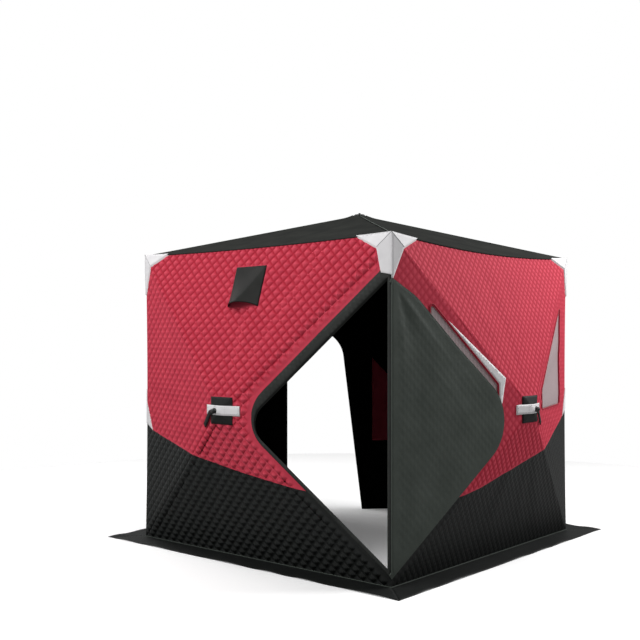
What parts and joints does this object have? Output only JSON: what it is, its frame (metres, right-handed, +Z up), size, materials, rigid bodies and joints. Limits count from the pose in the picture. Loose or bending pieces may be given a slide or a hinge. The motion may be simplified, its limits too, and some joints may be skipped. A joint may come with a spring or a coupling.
{
  "type": "pop-up ice fishing shelter",
  "caption": "Pop-up ice fishing shelter of quilted fabric on hub-and-pole frames, with a half-diamond front door, an arched back door, mesh windows and a snow skirt.",
  "frame": {"origin": "centre of the plan on the ground, midway between the side walls", "axes": "+Z up; the front corner points to +X -Y, the back door wall faces -X +Y"},
  "size_m": [2.3891, 2.3621, 1.981],
  "materials": {
    "red_quilt": "quilted polyester, soft sheen",
    "black_quilt": "quilted polyester, matt",
    "roof_fabric": "coated polyester",
    "skirt_fabric": "coated polyester, matt",
    "lining": "coated polyester, satin",
    "white_patch": "woven reinforcement",
    "webbing": "woven webbing",
    "screen_mesh": "fine mesh",
    "pole": "fibreglass rod",
    "hub_plastic": "moulded"
  },
  "bodies": {
    "shelter": {"front_left_wall_bottom_panel": "black_quilt", "front_left_wall_right_panel": "red_quilt", "front_left_wall_top_panel": "red_quilt", "front_left_wall_left_panel": "red_quilt", "front_right_wall_bottom_panel": "black_quilt", "front_right_wall_right_panel": "red_quilt", "front_right_wall_top_panel": "red_quilt", "front_right_wall_left_panel": "red_quilt", "back_right_wall_bottom_panel": "black_quilt", "back_right_wall_right_panel": "red_quilt", "back_right_wall_top_panel": "red_quilt", "back_right_wall_left_panel": "red_quilt", "back_left_wall_bottom_panel": "black_quilt", "back_left_wall_right_panel": "red_quilt", "back_left_wall_top_panel": "red_quilt", "back_left_wall_left_panel": "red_quilt", "front_right_window_screens": "screen_mesh", "back_right_window_screens": "screen_mesh", "back_left_window_screens": "screen_mesh", "back_door_wall": "black_quilt", "front_left_roof_panel": "roof_fabric", "front_right_roof_panel": "roof_fabric", "back_right_roof_panel": "roof_fabric", "back_left_roof_panel": "roof_fabric", "back_door_roof_panel": "roof_fabric", "front_left_frame": "pole", "front_right_frame": "pole", "back_right_frame": "pole", "back_left_frame": "pole", "roof_frame": "pole", "roof_cap": "hub_plastic", "front_left_skirt": "skirt_fabric", "front_right_skirt": "skirt_fabric", "back_right_skirt": "skirt_fabric", "back_left_skirt": "skirt_fabric", "front_door_border": "lining", "rear_door_border": "lining", "front_door_hinge_seam": "lining", "rear_door_hinge_seam": "lining", "corner_patches": "white_patch", "hub_patches": "webbing", "hub_pulls": "webbing", "vent_hood": "skirt_fabric"},
    "front_door": {"front_door_flap": "lining"},
    "rear_door": {"rear_door_flap": "black_quilt"}
  },
  "joints": [
    {"name": "front_door_hinge", "type": "hinge", "parent": "shelter", "child": "front_door", "pos_m": [0.93472, -0.93472, 0], "axis": [0, 0, 1], "range_deg": [-237, 0]},
    {"name": "rear_door_hinge", "type": "hinge", "parent": "shelter", "child": "rear_door", "pos_m": [-0.93523, 0.28174, 0], "axis": [0, 0, 1], "range_deg": [-200, 0]}
  ]
}
